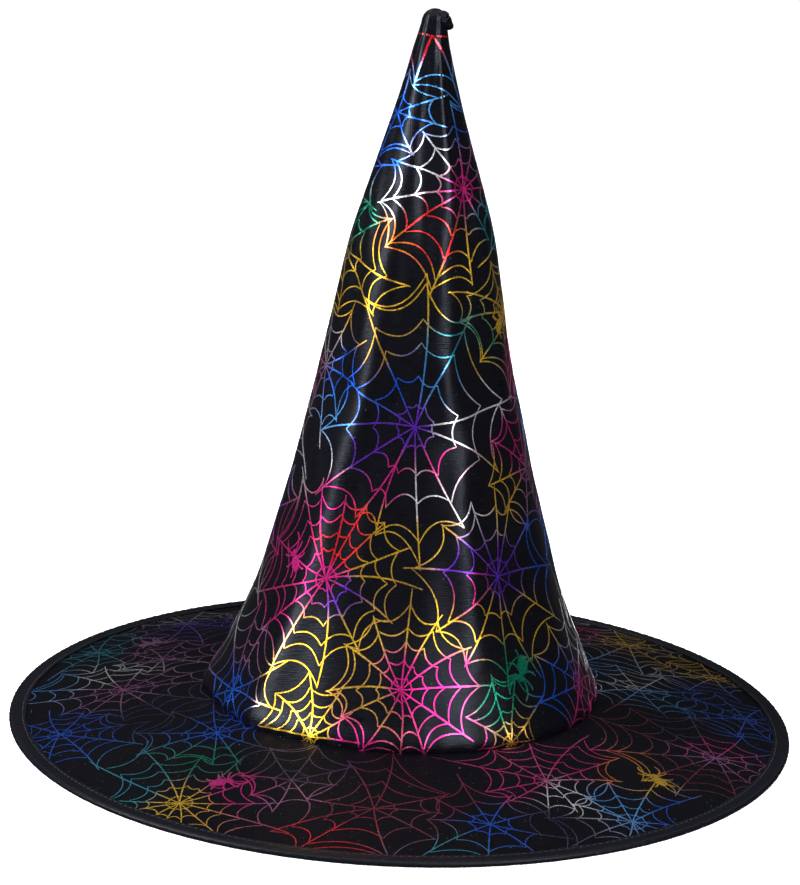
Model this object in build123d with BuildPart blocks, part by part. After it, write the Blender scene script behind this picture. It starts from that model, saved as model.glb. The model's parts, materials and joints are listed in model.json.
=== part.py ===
"""Witch hat: a stiffened satin cone sewn to a wired, bound brim, with a sweatband inside.

Millimetres. The hat stands on its brim. z = 0 is the flat underside of the bound edge, the
crown's axis is Z, and the crown's back seam runs up its +Y side. Every ply is a separate
solid, with a hair of room between neighbours, because they are sewn and not glued.
"""
import os
from math import cos, hypot, pi, radians, sin, tan

from build123d import *

os.makedirs("parts", exist_ok=True)

# Driving dimensions --------------------------------------------------------------------

# Materials, by thickness
cloth = 0.4                    # satin, one ply
core = 1.0                     # stiff interlining, one ply
tape = 0.5                     # bias tape of the bound edge
band = 0.7                     # ribbon of the sweatband
ply_gap = 0.05                 # room between two plies that lie on each other

# Brim
brim_diameter = 380.0          # over the bound edge
brim_rise = 14.5               # how far the neck stands above the edge
edge_flat = 9.0                # outer margin that lies flat on the table
neck_flat = 0.6                # margin outside the crown that lies level
binding_width = 8.0            # bias tape seen from above, folded over the edge
binding_stitch_inset = 1.5     # row of stitches, from the tape's inner edge

# Wire in the edge
wire_diameter = 1.2
sleeve_wall = 0.3              # crimped sleeve that joins the wire's two ends
sleeve_length = 16.0
wire_end_gap = 0.6             # between the two ends, inside the sleeve

# Head opening
head_opening_radius = 89.2     # inside the sweatband
band_width = 25.0              # ribbon, from its lower to its upper edge
band_drop = 0.6                # lower edge of the ribbon, below the brim's underside
band_straight = 8.0            # upright part of the ribbon, above the neck seam
band_stitch_rise = 2.0         # row of stitches, above the ribbon's lower edge
neck_allowance = 14.0          # brim cloth turned up inside the crown
clip_count = 24                # cuts that let the turned-up cloth open out
clip_width = 1.5
clip_rise = 3.0                # uncut cloth below each cut
neck_stitch_rise = 2.0         # row of stitches, above the brim's top

# Crown, heights from the neck seam
crown_height = 331.0
flare_lean = 23.6              # degrees from upright, over the wide foot of the cone
flare_height = 52.0
waist_radius = 46.6            # the cone is slimmest for its height here
waist_height = 155.0
upper_radius = 33.9            # and fullest for its height here
upper_height = 222.0
tip_radius = 6.0
profile_bend_radius = 150.0    # rounding where the cone changes its slope
core_stop = 30.0               # interlining ends this far below the tip

# Folded tip
tip_fold_radius = 4.0          # wad of cloth folded over to the +X side
tip_fold_reach = 5.5           # its centre, from the axis
tip_fold_drop = 6.5            # its centre, below the top
tack_count = 3
tack_diameter = 0.5
tack_length = 3.2
tack_spread = 16.0             # degrees from one tack to the next

# Back seam
back_allowance_width = 8.0     # each side, pressed open
back_allowance_thickness = 1.4
back_slit = 0.8                # between the two allowances
back_seam_stop = 46.0          # allowances end this far below the tip

# Thread and label
thread_width = 0.4
thread_height = 0.2
thread_room = 0.05             # round a thread that is sunk in a tape
label_width = 18.0
label_length = 26.0
label_leaf = 0.2
label_gap = 0.1                # between the two folded leaves
label_rise = 3.0               # above the sweatband's upper edge

# Values that follow from them --------------------------------------------------------------

lean = tan(radians(flare_lean))
brim_radius = brim_diameter / 2
wire_radius = wire_diameter / 2
sleeve_radius = wire_radius + ply_gap + sleeve_wall
stack_half = (2 * cloth + 2 * ply_gap + core) / 2
edge_middle = tape + ply_gap + max(stack_half, sleeve_radius)
wire_ring_radius = brim_radius - tape - ply_gap - sleeve_radius
plies_radius = wire_ring_radius - sleeve_radius - ply_gap

underside_cloth_low = -stack_half
core_low = underside_cloth_low + cloth + ply_gap
top_cloth_low = core_low + core + ply_gap
neck_level = edge_middle + brim_rise
seam_level = neck_level + stack_half

# From the head outwards: ribbon, two turned-up plies of brim cloth, interlining, crown cloth
band_outer = head_opening_radius + band
under_collar_inner = band_outer + ply_gap
top_collar_inner = under_collar_inner + cloth + ply_gap
collars_outer = top_collar_inner + cloth
crown_base_radius = collars_outer + ply_gap + core + ply_gap + cloth + band_straight * lean
core_inset = cloth + ply_gap
lining_inset = core_inset + core + ply_gap

flare_radius = crown_base_radius - flare_height * lean
tip_level = seam_level + crown_height
crown_foot = seam_level + ply_gap
band_bottom = neck_level - stack_half - band_drop
band_bend = seam_level + band_straight
band_top = band_bottom + band_width
collar_top = seam_level + neck_allowance
tip_lean = (upper_radius - tip_radius) / (crown_height - tip_radius - upper_height)
tack_height = crown_height - tip_fold_drop - tip_fold_radius - ply_gap - tack_length / 2
tack_wall = tip_radius + (crown_height - tip_radius - tack_height) * tip_lean
neck_thread_radius = collars_outer + ply_gap + thread_width / 2
groove_width = thread_width + 2 * thread_room
groove_depth = thread_height + 2 * thread_room
binding_inner_radius = brim_radius - binding_width
binding_half = stack_half + ply_gap + tape
binding_row_radius = binding_inner_radius + binding_stitch_inset
binding_rows = [
    (binding_row_radius, edge_middle - binding_half + groove_depth / 2),
    (binding_row_radius, edge_middle + binding_half - groove_depth / 2),
]
band_row = (head_opening_radius + groove_depth / 2, band_bottom + band_stitch_rise)
back_seam_low = max(collar_top, band_top) + ply_gap
back_seam_high = tip_level - back_seam_stop
label_inset = lining_inset + back_allowance_thickness + ply_gap
label_low = band_top + label_rise
label_high = label_low + label_length


def ply(path, across=0.0, up=0.0):
    """Section between a path of (radius, height) points and the same path moved."""
    moved = [(r + across, z + up) for r, z in path]
    with BuildSketch() as section:
        with BuildLine():
            Polyline(*path, *reversed(moved), close=True)
        make_face()
    return section.sketch


def leaning_path(radius, low, high):
    """Upright from low to the bend, then leaning in with the crown up to high."""
    return [(radius, low), (radius, band_bend), (radius - (high - band_bend) * lean, high)]


def collar_path(radius, low):
    """Brim cloth turned up at the neck, from the underside of its ply."""
    return leaning_path(radius, neck_level + low, collar_top)


def brim_path(low, inner, outer):
    """Level at the neck, down the slope of the brim, and level along its edge."""
    slope_top = crown_base_radius + neck_flat
    slope_foot = brim_radius - edge_flat
    return [
        (inner, neck_level + low),
        (slope_top, neck_level + low),
        (slope_foot, edge_middle + low),
        (outer, edge_middle + low),
    ]


def crown_side(inset):
    """Add the crown's outline, from the neck seam to the foot of the tip's dome."""
    return FilletPolyline(
        (crown_base_radius - inset, seam_level),
        (flare_radius - inset, seam_level + flare_height),
        (waist_radius - inset, seam_level + waist_height),
        (upper_radius - inset, seam_level + upper_height),
        (tip_radius - inset, tip_level - tip_radius),
        radius=profile_bend_radius,
    )


def crown_wall(inset, thickness, low, high):
    """Section of a wall that follows the crown's outline between two levels."""
    with BuildSketch() as section:
        with BuildLine():
            outside = crown_side(inset)
            inside = crown_side(inset + thickness)
            Line(outside @ 0, inside @ 0)
            Line(outside @ 1, inside @ 1)
        make_face()
        with Locations((0, low)):
            Rectangle(
                2 * crown_base_radius,
                high - low,
                align=(Align.CENTER, Align.MIN),
                mode=Mode.INTERSECT,
            )
    return section.sketch


def clip_cuts():
    """Cut the turned-up cloth at the neck into tabs, so that it can follow the crown."""
    with PolarLocations(collars_outer, clip_count):
        with Locations((0, 0, seam_level + clip_rise)):
            Box(
                2 * neck_allowance,
                clip_width,
                neck_allowance,
                align=(Align.CENTER, Align.CENTER, Align.MIN),
                mode=Mode.SUBTRACT,
            )


def tack_plane(step):
    """Across the middle of one tack, which lies against the crown below the folded tip."""
    turn = radians(tack_spread * (step - (tack_count - 1) / 2))
    reach = tack_wall + (ply_gap + tack_diameter / 2) * hypot(1, tip_lean)
    return Plane(
        origin=(reach * cos(turn), reach * sin(turn), seam_level + tack_height),
        z_dir=(-tip_lean * cos(turn), -tip_lean * sin(turn), 1),
    )


def back_strip(width, mode):
    """Keep or cut what lies within half a width of the crown's back seam."""
    with Locations((0, 0, seam_level)):
        Box(
            width,
            crown_base_radius,
            crown_height,
            align=(Align.CENTER, Align.MIN, Align.MIN),
            mode=mode,
        )


# Crown -------------------------------------------------------------------------------

with BuildPart() as crown_cloth:
    with BuildSketch(Plane.XZ):
        with BuildLine():
            outside = crown_side(0)
            inside = crown_side(cloth)
            Line(outside @ 0, inside @ 0)
            outer_dome = JernArc(outside @ 1, (0, 1), tip_radius, 90)
            inner_dome = JernArc(inside @ 1, (0, 1), tip_radius - cloth, 90)
            Line(outer_dome @ 1, inner_dome @ 1)
        make_face()
        with Locations((0, crown_foot)):
            Rectangle(
                2 * crown_base_radius,
                crown_height,
                align=(Align.CENTER, Align.MIN),
                mode=Mode.INTERSECT,
            )
    revolve(axis=Axis.Z)
    with Locations((tip_fold_reach, 0, tip_level - tip_fold_drop)):
        Sphere(tip_fold_radius)
crown_cloth.part.label = "crown_cloth"
export_step(crown_cloth.part, "parts/crown_cloth.step")

with BuildPart() as crown_interlining:
    with BuildSketch(Plane.XZ):
        add(crown_wall(core_inset, core, crown_foot, tip_level - core_stop))
    revolve(axis=Axis.Z)
crown_interlining.part.label = "crown_interlining"
export_step(crown_interlining.part, "parts/crown_interlining.step")

with BuildPart() as back_seam_allowances:
    with BuildSketch(Plane.XZ):
        add(crown_wall(lining_inset, back_allowance_thickness, back_seam_low, back_seam_high))
    revolve(axis=Axis.Z)
    back_strip(back_slit + 2 * back_allowance_width, Mode.INTERSECT)
    back_strip(back_slit, Mode.SUBTRACT)
back_seam_allowances.part.label = "back_seam_allowances"
export_step(back_seam_allowances.part, "parts/back_seam_allowances.step")

with BuildPart() as back_seam_thread:
    with BuildSketch(Plane.XZ):
        add(crown_wall(lining_inset, thread_width, back_seam_low, back_seam_high))
    revolve(axis=Axis.Z)
    back_strip(thread_width, Mode.INTERSECT)
back_seam_thread.part.label = "back_seam_thread"
export_step(back_seam_thread.part, "parts/back_seam_thread.step")

with BuildPart() as tip_tacks:
    with BuildSketch(*[tack_plane(step) for step in range(tack_count)]):
        Circle(tack_diameter / 2)
    extrude(amount=tack_length / 2, both=True)
tip_tacks.part.label = "tip_tacks"
export_step(tip_tacks.part, "parts/tip_tacks.step")

# Brim --------------------------------------------------------------------------------

with BuildPart() as brim_top_cloth:
    with BuildSketch(Plane.XZ):
        add(ply(brim_path(top_cloth_low, top_collar_inner, plies_radius), up=cloth))
        add(ply(collar_path(top_collar_inner, top_cloth_low), across=cloth))
    revolve(axis=Axis.Z)
    clip_cuts()
brim_top_cloth.part.label = "brim_top_cloth"
export_step(brim_top_cloth.part, "parts/brim_top_cloth.step")

with BuildPart() as brim_interlining:
    with BuildSketch(Plane.XZ):
        add(ply(brim_path(core_low, top_collar_inner, plies_radius), up=core))
    revolve(axis=Axis.Z)
brim_interlining.part.label = "brim_interlining"
export_step(brim_interlining.part, "parts/brim_interlining.step")

with BuildPart() as brim_bottom_cloth:
    with BuildSketch(Plane.XZ):
        add(ply(brim_path(underside_cloth_low, under_collar_inner, plies_radius), up=cloth))
        add(ply(collar_path(under_collar_inner, underside_cloth_low), across=cloth))
    revolve(axis=Axis.Z)
    clip_cuts()
brim_bottom_cloth.part.label = "brim_bottom_cloth"
export_step(brim_bottom_cloth.part, "parts/brim_bottom_cloth.step")

# Bound edge ----------------------------------------------------------------------------

with BuildSketch() as binding_room:
    with Locations((wire_ring_radius, edge_middle)):
        Circle(sleeve_radius + ply_gap)
    with Locations((plies_radius, edge_middle)):
        Rectangle(
            2 * binding_width,
            2 * (stack_half + ply_gap),
            align=(Align.MAX, Align.CENTER),
        )
    make_hull()

with BuildPart() as edge_binding:
    with BuildSketch(Plane.XZ):
        add(binding_room.sketch)
        offset(amount=tape)
        add(binding_room.sketch, mode=Mode.SUBTRACT)
        with Locations((binding_inner_radius, edge_middle)):
            Rectangle(
                2 * binding_width,
                4 * edge_middle,
                align=(Align.MIN, Align.CENTER),
                mode=Mode.INTERSECT,
            )
        with Locations(*binding_rows):
            Rectangle(groove_width, groove_depth, mode=Mode.SUBTRACT)
    revolve(axis=Axis.Z)
edge_binding.part.label = "edge_binding"
export_step(edge_binding.part, "parts/edge_binding.step")

with BuildPart() as binding_thread:
    with BuildSketch(Plane.XZ):
        with Locations(*binding_rows):
            Rectangle(thread_width, thread_height)
    revolve(axis=Axis.Z)
binding_thread.part.label = "binding_thread"
export_step(binding_thread.part, "parts/binding_thread.step")

with BuildPart() as brim_wire:
    with BuildSketch(Plane.XZ):
        with Locations((wire_ring_radius, edge_middle)):
            Circle(wire_radius)
    revolve(axis=Axis.Z)
    with Locations((0, wire_ring_radius, edge_middle)):
        Box(wire_end_gap, 2 * wire_diameter, 2 * wire_diameter, mode=Mode.SUBTRACT)
brim_wire.part.label = "brim_wire"
export_step(brim_wire.part, "parts/brim_wire.step")

with BuildPart() as wire_sleeve:
    with BuildSketch(Plane.XZ):
        with Locations((wire_ring_radius, edge_middle)):
            Circle(sleeve_radius)
            Circle(wire_radius + ply_gap, mode=Mode.SUBTRACT)
    revolve(axis=Axis.Z)
    with Locations((0, wire_ring_radius, edge_middle)):
        Box(sleeve_length, sleeve_length, 4 * sleeve_radius, mode=Mode.INTERSECT)
wire_sleeve.part.label = "wire_sleeve"
export_step(wire_sleeve.part, "parts/wire_sleeve.step")

# Inside the head opening ----------------------------------------------------------------

with BuildPart() as neck_seam_thread:
    with BuildSketch(Plane.XZ):
        with Locations((neck_thread_radius, seam_level + neck_stitch_rise)):
            Circle(thread_width / 2)
    revolve(axis=Axis.Z)
neck_seam_thread.part.label = "neck_seam_thread"
export_step(neck_seam_thread.part, "parts/neck_seam_thread.step")

with BuildPart() as sweatband:
    with BuildSketch(Plane.XZ):
        add(ply(leaning_path(head_opening_radius, band_bottom, band_top), across=band))
        with Locations(band_row):
            Rectangle(groove_depth, groove_width, mode=Mode.SUBTRACT)
    revolve(axis=Axis.Z)
sweatband.part.label = "sweatband"
export_step(sweatband.part, "parts/sweatband.step")

with BuildPart() as sweatband_thread:
    with BuildSketch(Plane.XZ):
        with Locations(band_row):
            Rectangle(thread_height, thread_width)
    revolve(axis=Axis.Z)
sweatband_thread.part.label = "sweatband_thread"
export_step(sweatband_thread.part, "parts/sweatband_thread.step")

with BuildPart() as care_label:
    with BuildSketch(Plane.XZ):
        add(crown_wall(label_inset, 2 * label_leaf + label_gap, label_low, label_high))
    revolve(axis=Axis.Z)
    with BuildSketch(Plane.XZ):
        add(crown_wall(label_inset + label_leaf, label_gap, label_low + label_leaf, label_high))
    revolve(axis=Axis.Z, mode=Mode.SUBTRACT)
    back_strip(label_width, Mode.INTERSECT)
care_label.part.label = "care_label"
export_step(care_label.part, "parts/care_label.step")

girth = 2 * pi * head_opening_radius
print(f"hat {brim_diameter:.0f} across, {tip_level:.1f} high, head girth {girth:.0f}")
print(f"crown base radius {crown_base_radius:.2f} at height {seam_level:.2f}")
print(f"sweatband upright from {band_bottom:.2f} to {band_bend:.2f}")
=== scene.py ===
# %% [markdown]
# # A witch hat in printed satin
#
# The hat is a cone of satin over a stiff interlining, sewn to a round brim with a wire in
# its bound edge. The fixed frame already holds every ply at its size and place. Here each
# ply gets its cloth, folds, stitches and finish. The order is the order of sewing: camera
# and light first, then the cloth's shape, the crown, the brim, the edge, the inside, and
# last the foil print.

# %% Load the frame
import json
import math
import random

import bmesh
import bpy
import numpy as np
from mathutils import Matrix, Vector


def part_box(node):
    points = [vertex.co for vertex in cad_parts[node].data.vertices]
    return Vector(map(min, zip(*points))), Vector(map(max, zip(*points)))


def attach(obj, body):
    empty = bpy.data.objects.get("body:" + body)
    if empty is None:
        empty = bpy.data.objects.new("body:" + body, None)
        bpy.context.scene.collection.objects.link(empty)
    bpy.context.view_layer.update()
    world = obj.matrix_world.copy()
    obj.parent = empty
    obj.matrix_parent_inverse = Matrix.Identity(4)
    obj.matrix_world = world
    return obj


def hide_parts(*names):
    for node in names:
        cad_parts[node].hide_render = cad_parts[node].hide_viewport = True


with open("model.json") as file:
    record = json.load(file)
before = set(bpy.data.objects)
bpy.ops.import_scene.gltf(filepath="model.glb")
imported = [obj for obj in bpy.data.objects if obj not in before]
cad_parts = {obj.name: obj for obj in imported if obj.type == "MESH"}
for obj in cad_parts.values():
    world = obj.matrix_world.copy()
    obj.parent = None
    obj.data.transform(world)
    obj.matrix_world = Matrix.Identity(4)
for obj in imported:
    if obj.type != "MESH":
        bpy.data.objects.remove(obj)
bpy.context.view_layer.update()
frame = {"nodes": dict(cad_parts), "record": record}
MM = 0.001
print("frame nodes:", sorted(frame["nodes"]))

# %% [markdown]
# ## Measures
#
# Nothing is typed in that the frame can tell. A turned ply's outline is read from its mesh:
# the faces that look outwards give height against radius, and the faces that look up give
# radius against height.

# %% Read the plies' sizes
def ply_outline(name, facing):
    """Outline of a turned node: level and radius of its faces that look "out", or radius and
    level of those that look "up"."""
    mesh = frame["nodes"][name].data
    pairs = {}
    for face in mesh.polygons:
        centre, normal = face.center, face.normal
        outward = normal.x * centre.x + normal.y * centre.y
        looks_out = centre.x < 0 and outward > 0
        looks_up = normal.z > 0.9
        if looks_up if facing == "up" else looks_out:
            for corner in face.vertices:
                place = mesh.vertices[corner].co
                radius = math.hypot(place.x, place.y)
                key = round(radius, 5) if facing == "up" else round(place.z, 5)
                pairs[key] = place.z if facing == "up" else radius
    keys = sorted(pairs)
    return np.array(keys), np.array([pairs[key] for key in keys])


crown_low, crown_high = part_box("crown_cloth")
seam_level = crown_low.z
tip_level = crown_high.z
base_radius = crown_high.x
edge_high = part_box("edge_binding")[1]
brim_radius = edge_high.x
edge_top = edge_high.z
core_top_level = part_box("crown_interlining")[1].z
band_low, band_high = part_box("sweatband")
mounts = frame["record"]["mounts"]
head_radius = next(mount["dims"]["r_mm"] for mount in mounts if "r_mm" in mount["dims"]) * MM
crown_levels, crown_radii = ply_outline("crown_cloth", "out")
brim_radii, brim_levels = ply_outline("brim_top_cloth", "up")
brim_levels = brim_levels[brim_radii > base_radius]
brim_radii = brim_radii[brim_radii > base_radius]
plies_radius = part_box("brim_top_cloth")[1].x
CLOTH = 0.4 * MM
CORE = 1.0 * MM
PLY_GAP = 0.05 * MM
print("crown", round(base_radius / MM, 1), "to", round(tip_level / MM, 1), "brim", brim_radius / MM)

# %% [markdown]
# ## Camera, light and floor
#
# The hat stands on a table and is seen from a little above, with a long lens, so the brim is
# a slim oval. The camera leans a little, as a hand-held one does. Black satin shows only what
# it reflects, so the main light comes from two tall soft boxes, at the left and the right:
# each one draws a streak down the cone. A wide box in front and one above fill in, and two
# weak ones behind draw the far sides. The ambient light stays low, which keeps the black deep.
# The white floor is left out of glossy reflections, as black cards round the hat would do.

# %% Aim the camera
# The focal length is for a film 36 mm wide, and the shifts are shares of that width.
view_height = math.radians(14.48)
view_lean = math.radians(2.36)
view_distance = 1.5
view_target = Vector((-1.35 * MM, 0, 150 * MM))

bpy.ops.object.select_all(action="DESELECT")
bpy.ops.object.camera_add()
camera = bpy.context.object
camera.name = "camera"
camera.data.lens = 127.6
camera.data.shift_x = -0.0103
camera.data.shift_y = -0.0234
aim = Matrix.Rotation(math.pi / 2 - view_height, 4, "X") @ Matrix.Rotation(view_lean, 4, "Z")
back = Vector((0, -math.cos(view_height), math.sin(view_height)))
camera.matrix_world = Matrix.Translation(view_target + view_distance * back) @ aim
bpy.context.scene.camera = camera
print(camera.name, "at", [round(value, 3) for value in camera.matrix_world.translation])

# %% Soft boxes
# Name, turn to the right of the camera and height in degrees, distance, width and length in
# metres, and power in watts.
SOFT_BOXES = [
    ("left_box", -72, 30, 1.6, 0.42, 1.1, 54),
    ("right_box", 38, 28, 1.6, 0.3, 1.1, 32),
    ("front_box", -5, 55, 2.2, 2.2, 1.2, 6),
    ("top_box", 10, 80, 1.8, 1.4, 1.4, 14),
    ("rear_left_box", -145, 55, 2.0, 0.6, 1.4, 6),
    ("rear_right_box", 140, 55, 2.0, 0.6, 1.4, 6),
]
AMBIENT = 0.07
crown_middle = Vector((0, 0, 170 * MM))


def soft_box(name, turn, height, distance, width, length, power):
    """A rectangular light that looks at the middle of the crown."""
    side, rise = math.radians(turn), math.radians(height)
    away = Vector((
        math.sin(side) * math.cos(rise),
        -math.cos(side) * math.cos(rise),
        math.sin(rise),
    ))
    bpy.ops.object.light_add(type="AREA", location=crown_middle + distance * away)
    light = bpy.context.object
    light.name = name
    light.data.shape = "RECTANGLE"
    light.data.size, light.data.size_y = width, length
    light.data.energy = power
    light.rotation_euler = away.to_track_quat("Z", "Y").to_euler()


for box in SOFT_BOXES:
    soft_box(*box)
print(len(SOFT_BOXES), "soft boxes")

world = bpy.data.worlds.new("studio")
bpy.context.scene.world = world
world.use_nodes = True
sky = world.node_tree.nodes["Background"]
sky.inputs["Color"].default_value = (0.93, 0.95, 1.0, 1)
sky.inputs["Strength"].default_value = AMBIENT
bpy.context.scene.view_settings.view_transform = "Standard"

# %% Floor
FLOOR_RADIUS = 14
bpy.ops.mesh.primitive_circle_add(
    vertices=96, radius=FLOOR_RADIUS, fill_type="NGON", location=(0, 0, 0))
floor = bpy.context.object
floor.name = "floor"
floor.visible_glossy = False
print(floor.name, 2 * FLOOR_RADIUS, "m across")

# %% [markdown]
# ## Shared shader effects
#
# Cloth is told apart from paint by small things: threads, a slow change of gloss where it was
# pressed or handled, and stray specks. Each effect is a node group, so every material can use
# it with its own values. A group gives only masks and heights. The shader stays outside.

# %% Node helpers
def node_group(name, inputs, outputs):
    """A new shader group with float or vector sockets, its tree, and its two end nodes."""
    tree = bpy.data.node_groups.new(name, "ShaderNodeTree")
    for label, kind, value in inputs:
        socket = tree.interface.new_socket(label, in_out="INPUT", socket_type=kind)
        if value is not None:
            socket.default_value = value
    for label, kind in outputs:
        tree.interface.new_socket(label, in_out="OUTPUT", socket_type=kind)
    return tree, tree.nodes.new("NodeGroupInput"), tree.nodes.new("NodeGroupOutput")


def feed(tree, socket, value):
    """Links an input to value if that is a socket too. Otherwise value is set as a number."""
    if isinstance(value, bpy.types.NodeSocket):
        tree.links.new(value, socket)
    else:
        socket.default_value = value


def add_node(tree, kind, settings=(), **values):
    """A node with some of its settings, and its inputs fed by name."""
    node = tree.nodes.new("ShaderNode" + kind)
    for setting, value in dict(settings).items():
        setattr(node, setting, value)
    for label, value in values.items():
        feed(tree, node.inputs[label.replace("_", " ")], value)
    return node


def maths(tree, operation, first, second=0.0, third=0.0):
    """The result of one Math node on sockets or numbers."""
    node = add_node(tree, "Math", {"operation": operation})
    for socket, value in zip(node.inputs, (first, second, third)):
        feed(tree, socket, value)
    return node.outputs["Value"]


def ramp(tree, value, low, high, to_low=0.0, to_high=1.0):
    """value moved from the range low..high to the range to_low..to_high, and kept inside it."""
    node = add_node(tree, "MapRange", Value=value, From_Min=low, From_Max=high,
                    To_Min=to_low, To_Max=to_high)
    return node.outputs["Result"]


# %% Threads, handling and dust
def make_weave():
    """Fine threads both ways, longer across, as in satin. Threads is their count per unit."""
    tree, given, result = node_group(
        "weave",
        [("Vector", "NodeSocketVector", None), ("Threads", "NodeSocketFloat", 600.0),
         ("Float Length", "NodeSocketFloat", 14.0)],
        [("Height", "NodeSocketFloat"), ("Shade", "NodeSocketFloat")],
    )
    split = add_node(tree, "SeparateXYZ", Vector=given.outputs["Vector"])
    threads = given.outputs["Threads"]
    long_way = maths(tree, "DIVIDE", threads, given.outputs["Float Length"])
    weft_x = maths(tree, "MULTIPLY", split.outputs["X"], long_way)
    weft_y = maths(tree, "MULTIPLY", split.outputs["Y"], threads)
    weft_at = add_node(tree, "CombineXYZ", X=weft_x, Y=weft_y)
    weft = add_node(tree, "TexNoise", Vector=weft_at.outputs["Vector"], Scale=1.0, Detail=2.0)
    warp_x = maths(tree, "MULTIPLY", split.outputs["X"], threads)
    warp_y = maths(tree, "MULTIPLY", split.outputs["Y"], long_way)
    warp_at = add_node(tree, "CombineXYZ", X=warp_x, Y=warp_y)
    warp = add_node(tree, "TexNoise", Vector=warp_at.outputs["Vector"], Scale=1.0, Detail=1.0)
    height = maths(tree, "MULTIPLY_ADD", warp.outputs["Fac"], 0.35, weft.outputs["Fac"])
    tree.links.new(height, result.inputs["Height"])
    tree.links.new(ramp(tree, height, 0.4, 0.95), result.inputs["Shade"])
    return tree


def make_handling():
    """Slow cloudy change over a few centimetres, where cloth was pressed, rubbed or dusty."""
    tree, given, result = node_group(
        "handling",
        [("Vector", "NodeSocketVector", None), ("Scale", "NodeSocketFloat", 30.0)],
        [("Cloud", "NodeSocketFloat"), ("Scuff", "NodeSocketFloat")],
    )
    cloud = add_node(tree, "TexNoise", Vector=given.outputs["Vector"],
                     Scale=given.outputs["Scale"], Detail=4.0, Roughness=0.6)
    finer = maths(tree, "MULTIPLY", given.outputs["Scale"], 9.0)
    scuff = add_node(tree, "TexNoise", Vector=given.outputs["Vector"], Scale=finer, Detail=5.0)
    tree.links.new(ramp(tree, cloud.outputs["Fac"], 0.3, 0.7), result.inputs["Cloud"])
    tree.links.new(ramp(tree, scuff.outputs["Fac"], 0.55, 0.75), result.inputs["Scuff"])
    return tree


def make_specks():
    """Sparse round specks with a random value each, as of glitter that strayed from the foil."""
    tree, given, result = node_group(
        "specks",
        [("Vector", "NodeSocketVector", None), ("Cells", "NodeSocketFloat", 300.0),
         ("Share", "NodeSocketFloat", 0.04), ("Radius", "NodeSocketFloat", 0.16)],
        [("Mask", "NodeSocketFloat"), ("Random", "NodeSocketFloat")],
    )
    cells = add_node(tree, "TexVoronoi", Vector=given.outputs["Vector"],
                     Scale=given.outputs["Cells"], Randomness=1.0)
    split = add_node(tree, "SeparateColor", Color=cells.outputs["Color"])
    chosen = maths(tree, "LESS_THAN", split.outputs["Red"], given.outputs["Share"])
    near = maths(tree, "LESS_THAN", cells.outputs["Distance"], given.outputs["Radius"])
    tree.links.new(maths(tree, "MULTIPLY", chosen, near), result.inputs["Mask"])
    tree.links.new(split.outputs["Green"], result.inputs["Random"])
    return tree


WEAVE, HANDLING, SPECKS = make_weave(), make_handling(), make_specks()
print("shared effects:", WEAVE.name, HANDLING.name, SPECKS.name)


def use_group(tree, group, **values):
    """One of the shared groups, placed in a material with its own values."""
    return add_node(tree, "Group", {"node_tree": group}, **values).outputs


# %% [markdown]
# ## Finishes
#
# Satin is smooth, with long floats that blur a highlight along one way. Its black is not
# grey: it has hardly any diffuse colour, and its light is all reflection. The bias tape is a
# duller satin with ribs across. The interlining is a bonded felt with press dots. Thread,
# ribbon and label tape have their own ribs. Wire and sleeve are plain metal.

# %% Material helpers
def new_material(name, **settings):
    """A material with one Principled shader, whose plain values are set on its own sockets."""
    material = bpy.data.materials.new(name)
    material.use_nodes = True
    tree = material.node_tree
    for label, value in settings.items():
        feed(tree, tree.nodes["Principled BSDF"].inputs[label.replace("_", " ")], value)
    return material, tree


def blend_colours(tree, mask, first, second):
    """A colour that goes from first to second with mask. Either may be a socket."""
    node = add_node(tree, "Mix", {"data_type": "RGBA"})
    sockets = (node.inputs[0], node.inputs[6], node.inputs[7])
    for socket, value in zip(sockets, (mask, first, second)):
        feed(tree, socket, value)
    return node.outputs[2]


def finished(material, colour, gloss, height, strength, distance):
    """The material, with its colour and roughness linked, and its normal tilted by a height."""
    tree = material.node_tree
    shader = tree.nodes["Principled BSDF"]
    node = add_node(tree, "Bump", Height=height, Strength=strength, Distance=distance)
    tree.links.new(colour, shader.inputs["Base Color"])
    tree.links.new(gloss, shader.inputs["Roughness"])
    tree.links.new(node.outputs["Normal"], shader.inputs["Normal"])
    return material


# %% Satin
def satin(name, dark, pale, roughness, threads, gloss_level, specks=0.0):
    """Woven satin. threads is their count over the whole width of the cut's own map."""
    material, tree = new_material(
        name, Specular_IOR_Level=gloss_level, Specular_Tint=(0.74, 0.8, 1.0, 1))
    cut = add_node(tree, "UVMap", {"uv_map": "OFBake"}).outputs["UV"]
    place = add_node(tree, "TexCoord").outputs["Object"]
    weave = use_group(tree, WEAVE, Vector=cut, Threads=threads)
    cloud = use_group(tree, HANDLING, Vector=place, Scale=22.0)
    colour = blend_colours(tree, weave["Shade"], dark, pale)
    if specks:
        speck = use_group(tree, SPECKS, Vector=cut, Cells=threads * 0.8, Share=specks)
        hue = add_node(tree, "ValToRGB", Fac=speck["Random"])
        colour_stops(hue.color_ramp, [
            (0.0, (0.5, 0.05, 0.2)), (0.3, (0.5, 0.3, 0.05)),
            (0.6, (0.1, 0.3, 0.6)), (1.0, (0.6, 0.6, 0.62)),
        ])
        colour = blend_colours(tree, speck["Mask"], colour, hue.outputs["Color"])
    gloss = maths(tree, "MULTIPLY_ADD", cloud["Cloud"], 0.08, roughness)
    gloss = maths(tree, "MULTIPLY_ADD", weave["Shade"], 0.1, gloss)
    return finished(material, colour, gloss, weave["Height"], 0.7, 0.24 * MM)


def colour_stops(stops, colours):
    """Sets a colour ramp's stops from (position, colour) pairs."""
    while len(stops.elements) > 1:
        stops.elements.remove(stops.elements[-1])
    stops.elements[0].position = colours[0][0]
    stops.elements[0].color = (*colours[0][1], 1)
    for position, colour in colours[1:]:
        stops.elements.new(position).color = (*colour, 1)


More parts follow.
